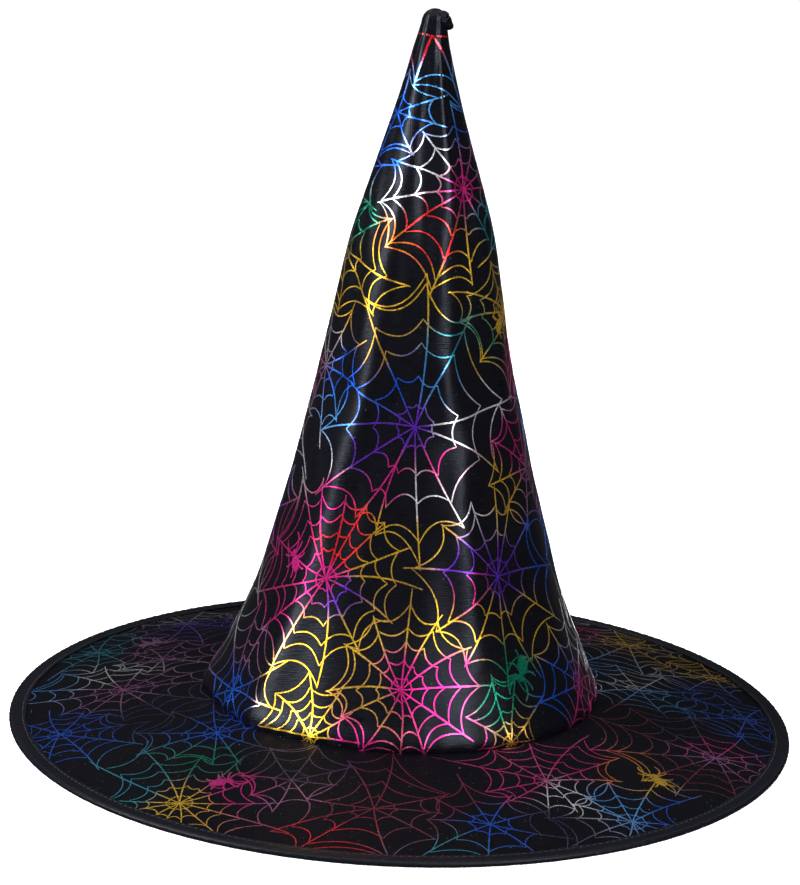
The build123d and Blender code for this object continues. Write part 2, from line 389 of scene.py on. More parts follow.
INK = (0.0006, 0.0006, 0.001, 1)
COAL = (0.002, 0.002, 0.0033, 1)
SLATE = (0.014, 0.014, 0.017, 1)
# Width in metres that each map covers, and the width of one bundle of threads in the weave.
CROWN_MAP = 0.56
BRIM_MAP = 0.38
TAPE_MAP = 1.2
CROWN_THREAD = 0.45 * MM
BRIM_THREAD = 0.6 * MM
crown_satin = satin("crown_satin", INK, COAL, 0.23, CROWN_MAP / CROWN_THREAD, 0.13, specks=0.01)
brim_satin = satin("brim_satin", INK, COAL, 0.4, BRIM_MAP / BRIM_THREAD, 0.04, specks=0.03)
plain_satin = satin("plain_satin", INK, SLATE, 0.4, BRIM_MAP / BRIM_THREAD, 0.2)
print("satins:", crown_satin.name, brim_satin.name, plain_satin.name)


# %% Tape, ribbon, felt, thread and label
def ribbed(name, dark, pale, roughness, rib_width, depth, sheen=0.0):
    """Woven tape with ribs across it. The map of such a piece runs along the tape."""
    material, tree = new_material(
        name, Sheen_Weight=sheen, Sheen_Roughness=0.4, Specular_IOR_Level=0.1)
    cut = add_node(tree, "UVMap", {"uv_map": "OFBake"}).outputs["UV"]
    place = add_node(tree, "TexCoord").outputs["Object"]
    along = add_node(tree, "SeparateXYZ", Vector=cut).outputs["X"]
    phase = maths(tree, "MULTIPLY", along, TAPE_MAP / rib_width * math.tau)
    rib = ramp(tree, maths(tree, "SINE", phase), -1.0, 1.0)
    weave = use_group(tree, WEAVE, Vector=cut, Threads=2600.0, Float_Length=4.0)
    cloud = use_group(tree, HANDLING, Vector=place, Scale=40.0)
    height = maths(tree, "MULTIPLY_ADD", weave["Height"], 0.5, rib)
    colour = blend_colours(tree, ramp(tree, height, 0.3, 1.4), dark, pale)
    gloss = maths(tree, "MULTIPLY_ADD", cloud["Cloud"], 0.14, roughness)
    return finished(material, colour, gloss, height, 0.4, depth)


def felt(name, dark, pale):
    """Bonded felt: short fibres pressed flat, with small round press dots in rows."""
    material, tree = new_material(
        name, Sheen_Weight=0.35, Sheen_Roughness=0.6, Specular_IOR_Level=0.2)
    place = add_node(tree, "TexCoord").outputs["Object"]
    fibres = add_node(tree, "TexNoise", Vector=place, Scale=900.0, Detail=6.0, Roughness=0.7)
    dots = add_node(tree, "TexVoronoi", Vector=place, Scale=420.0, Randomness=0.15)
    dot = ramp(tree, dots.outputs["Distance"], 0.25, 0.4)
    cloud = use_group(tree, HANDLING, Vector=place, Scale=25.0)
    shade = maths(tree, "MULTIPLY", fibres.outputs["Fac"], ramp(tree, dot, 0, 1, 0.6, 1.0))
    gloss = maths(tree, "MULTIPLY_ADD", cloud["Cloud"], 0.1, 0.82)
    height = maths(tree, "MULTIPLY_ADD", fibres.outputs["Fac"], 0.5, dot)
    colour = blend_colours(tree, shade, dark, pale)
    return finished(material, colour, gloss, height, 0.5, 0.2 * MM)


def spun_thread(name, dark, pale):
    """Twisted thread: fine slanting plies with a dull shine."""
    material, tree = new_material(
        name, Sheen_Weight=0.1, Sheen_Roughness=0.5, Specular_IOR_Level=0.15)
    place = add_node(tree, "TexCoord").outputs["Object"]
    plies = add_node(tree, "TexWave", {"bands_direction": "DIAGONAL"}, Vector=place,
                     Scale=1400.0, Distortion=2.0, Detail=2.0)
    ply = plies.outputs["Fac"]
    return finished(material, blend_colours(tree, ply, dark, pale),
                    ramp(tree, ply, 0, 1, 0.5, 0.68), ply, 0.5, 0.08 * MM)


def metal(name, dark, pale, roughness):
    """Drawn metal: fine lines, a few dull spots and a little tarnish."""
    material, tree = new_material(name, Metallic=1.0)
    place = add_node(tree, "TexCoord").outputs["Object"]
    lines = add_node(tree, "TexNoise", Vector=place, Scale=1800.0, Detail=3.0)
    wear = use_group(tree, HANDLING, Vector=place, Scale=180.0)
    gloss = maths(tree, "MULTIPLY_ADD", lines.outputs["Fac"], 0.2, roughness)
    gloss = maths(tree, "MULTIPLY_ADD", wear["Scuff"], 0.15, gloss)
    colour = blend_colours(tree, wear["Cloud"], dark, pale)
    return finished(material, colour, gloss, lines.outputs["Fac"], 0.2, 0.05 * MM)


binding_tape = ribbed("binding_tape", (0.001, 0.001, 0.0018, 1), (0.004, 0.0045, 0.0075, 1),
                      0.34, 0.8 * MM, 0.08 * MM)
ribbon = ribbed("ribbon", (0.006, 0.006, 0.007, 1), (0.026, 0.026, 0.03, 1),
                0.55, 1.1 * MM, 0.25 * MM)
label_tape = ribbed("label_tape", (0.62, 0.61, 0.58, 1), (0.84, 0.83, 0.8, 1),
                    0.6, 0.5 * MM, 0.05 * MM, sheen=0.1)
black_felt = felt("black_felt", (0.02, 0.02, 0.022, 1), (0.07, 0.07, 0.075, 1))
black_thread = spun_thread("black_thread", (0.004, 0.004, 0.005, 1), (0.02, 0.02, 0.024, 1))
spring_steel = metal("spring_steel", (0.36, 0.36, 0.38, 1), (0.52, 0.52, 0.55, 1), 0.3)
sleeve_brass = metal("sleeve_brass", (0.5, 0.38, 0.16, 1), (0.78, 0.6, 0.3, 1), 0.32)
print("other finishes:", [finish.name for finish in (
    binding_tape, ribbon, label_tape, black_felt, black_thread, spring_steel, sleeve_brass)])


# %% Floor finish
floor_paint, floor_tree = new_material(
    "floor_paint", Specular_IOR_Level=0.1, Roughness=0.9,
    Emission_Color=(0.95, 0.97, 1.0, 1), Emission_Strength=0.9,
)
floor_place = add_node(floor_tree, "TexCoord").outputs["Object"]
floor_grain = add_node(floor_tree, "TexNoise", Vector=floor_place, Scale=3.0, Detail=3.0)
floor_colour = blend_colours(
    floor_tree, floor_grain.outputs["Fac"], (0.86, 0.87, 0.88, 1), (0.9, 0.9, 0.9, 1))
floor_tree.links.new(floor_colour, floor_tree.nodes["Principled BSDF"].inputs["Base Color"])
floor.data.materials.append(floor_paint)
print(floor.name, "is painted with", floor_paint.name)

# %% [markdown]
# ## Laying cloth out and sewing it up
#
# A ply starts as a flat grid, one quad for each few square millimetres. Its corners are then
# carried to where the sewn cloth lies, by one function of two numbers: how far round, and how
# far along. The same two numbers give its place on the flat cut, which becomes its map. So
# the threads of the weave run as they do on real cloth, slanting on the sides of the cone.

# %% Sheet helpers
def weld_and_face(obj, looks_right):
    """Closes a seam where two edges meet, and turns the faces to the asked side."""
    bpy.ops.object.select_all(action="DESELECT")
    obj.select_set(True)
    bpy.context.view_layer.objects.active = obj
    bpy.ops.object.mode_set(mode="EDIT")
    bpy.ops.mesh.select_all(action="SELECT")
    bpy.ops.mesh.remove_doubles(threshold=0.002 * MM)
    bpy.ops.mesh.normals_make_consistent(inside=False)
    bpy.ops.object.mode_set(mode="OBJECT")
    votes = sum(looks_right(face.center, face.normal) * face.area for face in obj.data.polygons)
    if votes < 0:
        bpy.ops.object.mode_set(mode="EDIT")
        bpy.ops.mesh.flip_normals()
        bpy.ops.object.mode_set(mode="OBJECT")


def spun(turn, radius, level):
    """Points at a turn in degrees, 0 in front and 90 to the right, a radius and a level."""
    angle = np.radians(turn)
    return np.stack([radius * np.sin(angle), -radius * np.cos(angle), level], axis=1)


def strip_map(turn, radius, across):
    """Place on the map of a strip that runs round the hat, from metres along and across it."""
    return np.stack([np.radians(turn) * radius, across], axis=1) / TAPE_MAP + 0.5


def looks_outward(centre, normal):
    return normal.x * centre.x + normal.y * centre.y


def looks_up(_centre, normal):
    return normal.z


def looks_down(_centre, normal):
    return -normal.z


def lay_sheet(name, counts, place, flat, looks_right, thickness, cut=None):
    """A grid of cloth, put in space by place(u, v), mapped by flat(u, v) and thickened."""
    bpy.ops.object.select_all(action="DESELECT")
    bpy.ops.mesh.primitive_grid_add(
        x_subdivisions=counts[0], y_subdivisions=counts[1], size=2, calc_uvs=True)
    obj = bpy.context.object
    obj.name = name
    mesh = obj.data
    corners = np.empty(len(mesh.vertices) * 3)
    mesh.vertices.foreach_get("co", corners)
    u, v = (corners.reshape(-1, 3)[:, :2].T + 1) / 2
    cells = [(int((face.center.x + 1) / 2 * counts[0]), int((face.center.y + 1) / 2 * counts[1]))
             for face in mesh.polygons]
    mesh.vertices.foreach_set("co", place(u, v).ravel())
    layer = mesh.uv_layers[0]
    layer.name = "OFBake"
    used = np.empty(len(mesh.loops), dtype=np.int32)
    mesh.loops.foreach_get("vertex_index", used)
    layer.data.foreach_set("uv", flat(u, v)[used].ravel())
    mesh.update()
    if cut:
        clip_away(mesh, [cut(face.center, cell) for face, cell in zip(mesh.polygons, cells)])
    weld_and_face(obj, looks_right)
    thicken(obj, thickness)
    bpy.ops.object.shade_smooth_by_angle(angle=math.radians(50))
    return obj


def clip_away(mesh, clipped):
    """Deletes the faces that are marked as clipped."""
    bpy.context.tool_settings.mesh_select_mode = (False, False, True)
    bpy.ops.object.mode_set(mode="EDIT")
    bpy.ops.mesh.select_all(action="DESELECT")
    bpy.ops.object.mode_set(mode="OBJECT")
    mesh.polygons.foreach_set("select", clipped)
    bpy.ops.object.mode_set(mode="EDIT")
    bpy.ops.mesh.delete(type="FACE")
    bpy.ops.object.mode_set(mode="OBJECT")


def thicken(obj, thickness):
    """Gives a sheet its thickness, away from the side it faces."""
    solid = obj.modifiers.new("thickness", "SOLIDIFY")
    solid.thickness = thickness
    solid.offset = -1
    bpy.ops.object.modifier_apply(modifier=solid.name)


def dress(obj, material, slot, *stands_for):
    """Gives a finished piece its material and its body, and hides the CAD nodes it stands for. slot
    is not used.
    """
    obj.data.materials.clear()
    obj.data.materials.append(material)
    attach(obj, "root")
    if stands_for:
        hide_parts(*stands_for)
    print(obj.name, len(obj.data.polygons), "faces")


# %% [markdown]
# ## The crown's shape
#
# Satin over felt never stands as a true cone. It has long soft folds from the tip to the
# brim, flatter panels between them, a bulge or two at the foot, and a pinched line at each
# seam. One function gives the crown's surface for any turn and height, at any depth below
# the satin, so that every ply of the crown follows the same folds.

# %% Folds of the crown
# Each fold is its rise and half width in millimetres, then (height, turn) along its crest.
CROWN_FOLDS = [
    (2.6, 10, [(30, -47), (60, -44), (100, -42), (150, -37), (185, -27), (215, -31), (250, -24),
               (315, -20)]),
    (2.4, 9, [(60, 25), (100, 23), (125, 21), (150, 27), (172, 21), (195, 11), (235, 13),
              (268, 28), (315, 24)]),
    (-1.7, 15, [(30, -12), (90, -10), (150, -4), (190, -8), (250, -4), (300, 0)]),
    (-1.2, 13, [(40, 44), (120, 46), (180, 38), (250, 45), (300, 45)]),
    (1.2, 12, [(20, 70), (80, 66), (150, 72), (230, 62), (300, 70)]),
    (1.3, 13, [(20, -84), (90, -78), (160, -83), (240, -72), (300, -80)]),
    (1.4, 13, [(20, 112), (90, 120), (170, 110), (250, 118), (310, 112)]),
    (1.3, 12, [(20, -124), (80, -118), (150, -127), (240, -117), (310, -125)]),
    (-1.0, 14, [(20, 145), (120, 140), (220, 147), (300, 140)]),
    (-1.0, 14, [(20, -150), (110, -144), (210, -152), (300, -145)]),
]
# In millimetres: the length over which a fold dies out past its ends, and the radius of the
# cone under which it gets slimmer.
FOLD_FADE = 22
FOLD_SLIM = 38
# Dents and bulges: rise, radius in millimetres, height, turn.
CROWN_DENTS = [
    (2.2, 20, 48, -46), (1.0, 16, 30, 14), (-0.9, 20, 78, -14), (0.9, 18, 250, 70),
    (-1.1, 18, 178, 74), (1.0, 20, 120, 30), (-1.0, 17, 205, -60), (1.2, 22, 60, 140),
    (-1.0, 20, 110, -165), (1.1, 20, 45, -140),
]
# Shallow ripples: their number round the crown, wander, rise in millimetres, and phase.
CROWN_RIPPLES = [
    (7, 61, 0.26, 0.4), (11, 43, 0.22, 2.1), (17, 29, 0.14, 4.0), (5, 33, 0.24, 1.3),
    (23, 19, 0.08, 5.2),
]
# Level in millimetres against what the real outline adds to the plain cone's radius, and
# against how far its axis leans to the right.
CROWN_WAIST = [(90, 0), (125, -0.8), (150, -0.6), (178, 0), (250, -0.3), (280, -1.1), (300, -1.5),
               (316, -1.3), (336, -0.6), (347, 0)]
CROWN_LEAN = [(17, 0), (34, 1.4), (180, 1.5), (290, 1.6), (330, 2.0), (348, 3.0)]

steps = np.hypot(np.diff(crown_levels), np.diff(crown_radii))
top_radius_gap = crown_radii[-1]
crown_levels = np.append(crown_levels, tip_level)
crown_radii = np.append(crown_radii, 0.0)
steps = np.append(steps, math.hypot(tip_level - crown_levels[-2], top_radius_gap))
crown_lengths = np.insert(np.cumsum(steps), 0, 0.0)
crown_length = crown_lengths[-1]
CLOTH_PER_TURN = base_radius / crown_length
print("crown's slant length", round(crown_length / MM, 1))


def level_at(v):
    """Height on the crown's outside, v from 0 at the neck seam to 1 at the tip."""
    return np.interp(v * crown_length, crown_lengths, crown_levels)


def crest_rise(turn, level, radius):
    """Sum of the folds and dents at a turn in degrees and a level, in metres."""
    high = level / MM
    slim = np.minimum(1.0, radius / (FOLD_SLIM * MM))
    total = np.zeros_like(turn)
    for rise, half_width, crest in CROWN_FOLDS:
        heights, turns = zip(*crest)
        aside = (turn - np.interp(high, heights, turns) + 180) % 360 - 180
        arc = np.radians(aside) * radius / MM
        fade = (np.clip((high - heights[0] + FOLD_FADE) / FOLD_FADE, 0, 1)
                * np.clip((heights[-1] - high + FOLD_FADE) / FOLD_FADE, 0, 1))
        fade = fade * fade * (3 - 2 * fade)
        total += rise * slim * fade * np.exp(-(arc / (half_width * np.maximum(slim, 0.4))) ** 2)
    for rise, reach, height, centre in CROWN_DENTS:
        aside = (turn - centre + 180) % 360 - 180
        arc = np.radians(aside) * radius / MM
        total += rise * np.exp(-(arc ** 2 + (0.7 * (high - height)) ** 2) / reach ** 2)
    angle = np.radians(turn)
    for count, length, size, phase in CROWN_RIPPLES:
        total += size * slim * np.sin(count * angle + phase + 2.4 * np.sin(high / length + phase))
    return total * MM


def seam_rise(turn, level, radius):
    """The pinch and puckers along the neck seam and up the back seam, in metres."""
    high = (level - seam_level) / MM
    angle = np.radians(turn)
    roll = 0.9 * np.exp(-((high - 5) / 4) ** 2) - 0.8 * np.exp(-(high / 1.4) ** 2)
    pucker = 0.35 * np.sin(58 * angle + 1.7 * np.sin(9 * angle)) * np.exp(-high / 7)
    arc = np.radians(180 - np.abs(turn)) * radius / MM
    groove = -0.8 * np.exp(-(arc / 1.1) ** 2) + 0.3 * np.exp(-((arc - 5) / 3.2) ** 2)
    ticks = 0.18 * np.sin(math.tau * high / 8.5 + 1.5 * np.sin(high / 21)) * np.exp(-(arc / 6) ** 2)
    slim = np.minimum(1.0, radius / (12 * MM))
    return (roll + pucker + (groove + ticks) * slim) * MM


def crown_place(turn, level, depth=0.0):
    """Points on the crown at a depth in metres below the satin's face."""
    radius = np.interp(level, crown_levels, crown_radii)
    waist = np.interp(level / MM, *zip(*CROWN_WAIST)) * MM
    lean = np.interp(level / MM, *zip(*CROWN_LEAN)) * MM
    near_tip = np.clip(radius / (5 * MM), 0, 1)
    rise = waist + crest_rise(turn, level, radius) + seam_rise(turn, level, radius)
    spot = spun(turn, radius + near_tip * rise - depth, level)
    spot[:, 0] += lean
    return spot


# Where the sector's point lies on the map.
CROWN_POINT = np.array([0.5, 0.8])


def crown_flat(turn, level):
    """Place on the crown's flat cut, in metres from the point of the sector, y down to the hem."""
    slant = crown_length - np.interp(level, crown_levels, crown_lengths)
    swing = np.radians(turn) * CLOTH_PER_TURN
    return np.stack([slant * np.sin(swing), -slant * np.cos(swing)], axis=1)


def crown_map(turn, level):
    return crown_flat(turn, level) / CROWN_MAP + CROWN_POINT


# %% [markdown]
# ## Crown plies
#
# The printed satin is one sector, sewn up behind. The felt under it stops short of the tip,
# which is why the tip can be folded over. The two seam allowances are pressed open inside.

# %% Satin and felt of the crown
crown_cloth = lay_sheet(
    "crown_satin_cone", (236, 168),
    lambda u, v: crown_place(360 * u - 180, level_at(v)),
    lambda u, v: crown_map(360 * u - 180, level_at(v)),
    looks_outward, CLOTH,
)
dress(crown_cloth, crown_satin, "printed_satin", "crown_cloth")

crown_core_depth = CLOTH + PLY_GAP
core_share = 1 - (tip_level - core_top_level) / crown_length
crown_core = lay_sheet(
    "crown_felt_cone", (168, 84),
    lambda u, v: crown_place(360 * u - 180, level_at(v * core_share), crown_core_depth),
    lambda u, v: crown_map(360 * u - 180, level_at(v * core_share)),
    looks_outward, CORE,
)
dress(crown_core, black_felt, "interlining", "crown_interlining")

# %% [markdown]
# ## Folded tip
#
# The point of the cone would be sharp and hollow. It is folded over to one side and tacked,
# which leaves a small lumpy wad with one corner that sticks out. A sphere is scaled and moved
# to the wad's place in edit mode. Then one beak is drawn out, with a few creases and a tuck.

# %% Wad of folded satin
wad_centre = Vector((6.6 * MM, -0.6 * MM, tip_level - 5.6 * MM))
wad_half_sizes = (3.9 * MM, 4.7 * MM, 4.6 * MM)
wad_girth = 28 * MM
beak_way = Vector((0.83, -0.2, -0.52)).normalized()

bpy.ops.object.select_all(action="DESELECT")
bpy.ops.mesh.primitive_uv_sphere_add(segments=64, ring_count=40, radius=1, calc_uvs=True)
tip_fold = bpy.context.object
tip_fold.name = "tip_fold"
tip_fold.data.uv_layers[0].name = "OFBake"
for mark in tip_fold.data.uv_layers[0].data:
    mark.uv = mark.uv * (wad_girth / CROWN_MAP)
bpy.ops.object.mode_set(mode="EDIT")
bpy.ops.mesh.select_all(action="SELECT")
bpy.ops.transform.resize(value=wad_half_sizes)
bpy.ops.transform.translate(value=wad_centre)
bpy.ops.object.mode_set(mode="OBJECT")
for corner in tip_fold.data.vertices:
    way = (corner.co - wad_centre).normalized()
    beak = max(0.0, way.dot(beak_way)) ** 9
    crease = math.sin(9 * way.z + 5 * way.y) + 0.6 * math.sin(14 * way.y - 6 * way.x + 1)
    tuck = math.exp(-((way.z - 0.55 * way.x - 0.2) / 0.11) ** 2)
    corner.co += way * MM * (1.8 * beak + 0.09 * crease - 0.45 * tuck)
bpy.ops.object.shade_smooth_by_angle(angle=math.radians(60))
dress(tip_fold, crown_satin, "printed_satin", "crown_cloth")

# %% [markdown]
# ## Brim plies
#
# Two satin rings with a stiff ring of felt between them. All three share one surface, a very
# flat cone with a slow wave, because they are sewn to each other. Their neck edges are cut
# into tabs and turned up inside the crown, where the sweatband covers them.

# %% Shape of the brim
collar_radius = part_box("neck_seam_thread")[1].x - 0.45 * MM
collar_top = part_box("brim_top_cloth")[1].z
under_collar_radius = collar_radius - 2 * CLOTH - PLY_GAP
brim_stack = 2 * CLOTH + CORE + 2 * PLY_GAP
# The neck edge stands upright to the bend, and leans in with the crown's foot above it.
bend_level = seam_level + 8 * MM
foot_lean = math.tan(math.radians(23.6))
NECK_EDGE = 14 * MM
# The bend's place up the neck edge, the tabs and their grid columns, the cut's share of a tab,
# the first tab's turn, how far up the cuts begin, and the grid rows of the edge.
BEND_SHARE = 0.4
TABS = 24
TAB_COLUMNS = 14
TAB_CUT = 0.064
FIRST_TAB = -180.5
CUT_FOOT = 3 * MM
COLLAR_ROWS = 5


def brim_level(radius, turn):
    """Height of the brim's top face. The wave dies out at the neck and at the wire."""
    flat = np.interp(radius, brim_radii, brim_levels)
    inner = np.clip((radius - base_radius) / (22 * MM), 0, 1)
    outer = np.clip((plies_radius - radius) / (30 * MM), 0, 1)
    angle = np.radians(turn)
    wave = 0.5 * np.sin(5 * angle + 0.7) + 0.35 * np.sin(8 * angle + 2.2) + 0.2 * np.sin(
        13 * angle + 0.5 + radius / (16 * MM))
    pucker = 0.22 * np.sin(61 * angle + 2 * np.sin(7 * angle)) * np.exp(
        -np.maximum(0, radius - base_radius) / (9 * MM))
    return flat + (inner * outer * wave + pucker * (radius > base_radius)) * MM


def brim_place(turn, radius, depth=0.0):
    return spun(turn, radius, brim_level(radius, turn) - depth)


def brim_map(turn, radius):
    return spun(turn, radius, radius)[:, :2] / BRIM_MAP + 0.5


# %% One ply of the brim
def collared_place(turn, along, inner, depth):
    """A ply's face: along is 0 to 1 up the turned-up neck edge, then 1 to 2 out to the wire."""
    level = np.interp(along, [0, BEND_SHARE, 1], [collar_top, bend_level, seam_level - depth])
    radius = np.interp(along, [0, BEND_SHARE, 1, 2], [
        inner - (collar_top - bend_level) * foot_lean, inner, inner, plies_radius])
    out = along > 1
    spot = brim_place(turn, radius, depth)
    spot[~out, 2] = level[~out]
    return spot


def tab_turn(u):
    """Turn at u. The first column of each tab is narrowed to the width of the cut beside it."""
    tab, column = np.divmod(np.rint(u * TABS * TAB_COLUMNS), TAB_COLUMNS)
    share = np.interp(column, [0, 1, TAB_COLUMNS], [0, TAB_CUT, 1])
    return 360 / TABS * (tab + share) + FIRST_TAB


def brim_ply(name, inner, depth, looks_right, rows):
    """One ply of the brim with its turned-up, clipped neck edge."""
    split = COLLAR_ROWS / rows

    def place(u, v):
        along = np.where(v <= split + 1e-6, v / split, 1 + (v - split) / (1 - split))
        return collared_place(tab_turn(u), along, inner, depth)

    def flat(u, v):
        radius = np.interp(v, [0, split, 1], [inner - NECK_EDGE, inner, plies_radius])
        return brim_map(tab_turn(u), radius)

    counts = (TABS * TAB_COLUMNS, rows)
    return lay_sheet(name, counts, place, flat, looks_right, CLOTH, cut_tabs)


def cut_tabs(centre, cell):
    """True for the faces that are clipped away between two tabs."""
    in_cut = cell[0] % TAB_COLUMNS == 0 and cell[1] < COLLAR_ROWS - 1
    return in_cut and centre.z > seam_level + CUT_FOOT


# %% Sew the brim's plies
brim_top = brim_ply("brim_satin_top", collar_radius, 0.0, looks_up, 44)
dress(brim_top, brim_satin, "printed_satin", "brim_top_cloth")

brim_under = brim_ply("brim_satin_under", under_collar_radius, brim_stack, looks_down, 36)
dress(brim_under, plain_satin, "plain_satin", "brim_bottom_cloth")

ring_width = plies_radius - collar_radius
brim_core = lay_sheet(
    "brim_felt_ring", (240, 24),
    lambda u, v: brim_place(360 * u - 180, collar_radius + v * ring_width, CLOTH + PLY_GAP),
    lambda u, v: brim_map(360 * u - 180, collar_radius + v * ring_width),
    looks_up, CORE,
)
dress(brim_core, black_felt, "interlining", "brim_interlining")

# %% [markdown]
# ## Bound edge
#
# Bias tape is cut slanting across the cloth, so it stretches round the curve and pulls into
# small slanting drags. It is folded over the wire and caught by a row of stitches that dimples
# it. The tape is one long grid, wrapped round the section of the edge. At the back its end is
# turned in and laps over the start.

# %% Section of the edge
tape_inner = ply_outline("edge_binding", "up")[0].min()
half_edge = edge_top / 2
wire_ring = brim_radius - half_edge
flat_width = wire_ring - tape_inner
section_length = 2 * flat_width + math.pi * half_edge
stitch_ring = tape_inner + 1.5 * MM
EDGE_STITCHES = 340
TAPE = 0.5 * MM


def edge_section(along):
    """Radius, height and outward direction on the tape, along 0 on top to 1 underneath."""
    walked = along * section_length
    bend = np.clip((walked - flat_width) / half_edge, 0, math.pi)
    before = np.clip(flat_width - walked, 0, None)
    after = np.clip(walked - flat_width - math.pi * half_edge, 0, None)
    out, up = np.sin(bend), np.cos(bend)
    radius = wire_ring - before - after + half_edge * out
    return radius, half_edge * (1 + up), out, up


def tape_place(turn, along, lift=0.0):
    """The tape's face with its drags, puckers and wandering edge, never under the floor."""
    radius, level, out, up = edge_section(along)
    angle = np.radians(turn)
    around = angle * brim_radius / MM
    across = along * section_length / MM
    drag = 0.1 * np.sin(math.tau * (around + 1.5 * across) / 4.6 + 2.2 * np.sin(around / 31))
    drag += 0.06 * np.sin(math.tau * (around + 1.1 * across) / 7.9 + 1.7 * np.sin(around / 47))
    row = np.exp(-((radius - stitch_ring) / (0.7 * MM)) ** 2)
    quilt = -0.16 * row * (0.75 + 0.25 * np.cos(EDGE_STITCHES * angle))
    rise = (drag + quilt) * MM
    rise = np.where(up < 0, -np.abs(rise), rise) + lift * np.clip(0.6 + up, 0, 1)
    rise -= np.where(up < -0.2, np.exp(-((180 - np.abs(turn)) / 3) ** 4) * 0.45 * MM, 0)
    wander = 0.22 * np.sin(around / 8.3 + 2 * np.sin(around / 61)) + 0.12 * np.sin(around / 3.1)
    edge = np.clip(1 - np.minimum(along, 1 - along) * section_length / (3 * MM), 0, 1)
    radius = radius + rise * out + wander * edge * MM
    return spun(turn, radius, level + rise * up)


def looks_off_ring(centre, normal):
    """Faces of a tube round the edge look away from the wire's ring."""
    reach = math.hypot(centre.x, centre.y)
    out = (normal.x * centre.x + normal.y * centre.y) / reach
    return out * (reach - (tape_inner + wire_ring) / 2) + normal.z * (centre.z - half_edge)


# %% Wrap the tape
binding = lay_sheet(
    "binding", (1080, 20),
    lambda u, v: tape_place(360 * u - 180, v),
    lambda u, v: strip_map(360 * u - 180, brim_radius, v * section_length),
    looks_off_ring, TAPE,
)
dress(binding, binding_tape, "binding_tape", "edge_binding")

# The lap spans this many degrees to each side of the back, and its ends dip on to the tape.
LAP_TURN = 1.9
LAP_SHARE = 0.62
LAP_LIFT, LAP_DIP = 0.52 * MM, 0.3 * MM


def lap_place(u, v):
    aside = 2 * u - 1
    return tape_place(180 + LAP_TURN * aside, LAP_SHARE * v, LAP_LIFT - LAP_DIP * aside ** 8)


binding_lap = lay_sheet(
    "binding_lap", (24, 14), lap_place,
    lambda u, v: strip_map(LAP_TURN * (2 * u - 1), brim_radius, v * section_length),
    looks_off_ring, TAPE - PLY_GAP,
)
dress(binding_lap, binding_tape, "binding_tape", "edge_binding")

# %% [markdown]
# ## Stitches
#
# One stitch is a short grain of thread that dips into the cloth at both ends. It is modelled
# once, from a sphere, and each copy is turned along its row. Hundreds of them are used, so it
# has only forty-odd faces.

# %% One stitch and a row of copies
def model_stitch(length, width, height):
    """A grain of thread along X, with its ends drawn down into the cloth."""
    bpy.ops.object.select_all(action="DESELECT")
    bpy.ops.mesh.primitive_uv_sphere_add(segments=8, ring_count=6, radius=0.5,
                                         rotation=(0, math.pi / 2, 0), calc_uvs=True)
    grain = bpy.context.object
    bpy.ops.object.transform_apply(location=False, rotation=True, scale=False)
    bpy.ops.object.mode_set(mode="EDIT")
    bpy.ops.mesh.select_all(action="SELECT")
    bpy.ops.transform.resize(value=(length, width, height))
    bpy.ops.object.mode_set(mode="OBJECT")
    for corner in grain.data.vertices:
        share = 2 * corner.co.x / length
        corner.co.z -= 0.45 * height * share ** 4
        corner.co.y += 0.16 * width * share
    return grain


def sew(name, grain, spots, slot, *stands_for):
    """A row of copies of one stitch. Each spot is a place, the way along, and the way up."""
    row = bmesh.new()
    for place, along, up in spots:
        along, up = Vector(along).normalized(), Vector(up).normalized()
        side = up.cross(along).normalized()
        turned = Matrix((along, side, along.cross(side))).transposed().to_4x4()
        copy = grain.data.copy()
        copy.transform(Matrix.Translation(place) @ turned)
        row.from_mesh(copy)
        bpy.data.meshes.remove(copy)
    mesh = bpy.data.meshes.new(name)
    row.to_mesh(mesh)
    row.free()
    obj = bpy.data.objects.new(name, mesh)
    bpy.context.collection.objects.link(obj)
    mesh.polygons.foreach_set("use_smooth", [True] * len(mesh.polygons))
    dress(obj, black_thread, slot, *stands_for)
    return obj


def ring_spots(count, radius, level, up, skew=0.03):
    """Evenly spaced spots round a ring, each a little off, as from a machine's feed."""
    spots = []
    for step in range(count):
        angle = math.tau * step / count
        off = skew * math.sin(12.9898 * step)
        out = Vector((math.sin(angle), -math.cos(angle), 0))
        along = Vector((math.cos(angle), math.sin(angle), 0)) + off * out
        way = up if up else -out
        spots.append((radius * out + Vector((0, 0, level)), along, way))
    return spots


# %% Sew the edge, the ribbon and the back seam
fine_thread = (0.42 * MM, 0.34 * MM)
edge_grain = model_stitch(2.5 * MM, *fine_thread)
binding_spots = ring_spots(EDGE_STITCHES, stitch_ring, edge_top - 0.04 * MM, (0, 0, 1))
binding_spots += ring_spots(EDGE_STITCHES, stitch_ring, 0.17 * MM, (0, 0, -1))
sew("binding_stitches", edge_grain, binding_spots, "thread", "binding_thread")

ribbon_grain = model_stitch(3.0 * MM, *fine_thread)
sew("ribbon_stitches", ribbon_grain,
    ring_spots(132, head_radius - 0.06 * MM, band_low.z + 2 * MM, None),
    "thread", "sweatband_thread")

seam_low, seam_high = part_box("back_seam_thread")
seam_grain = model_stitch(3.0 * MM, 0.45 * MM, 0.4 * MM)
lining_depth = crown_core_depth + CORE + PLY_GAP
seam_spots = []
SEAM_PITCH, SEAM_MARGIN = 3.4 * MM, 1.6 * MM
for level in np.arange(seam_low.z + SEAM_MARGIN, seam_high.z - SEAM_MARGIN, SEAM_PITCH):
    below, here, above = crown_place(
        np.full(3, 180.0), level + np.array([-1, 0, 1]) * MM, lining_depth + 0.1 * MM)
    seam_spots.append((Vector(here), Vector(above - below), (0, -1, 0)))
sew("back_stitches", seam_grain, seam_spots, "thread", "back_seam_thread")
for grain in (edge_grain, ribbon_grain, seam_grain):
    bpy.data.objects.remove(grain)

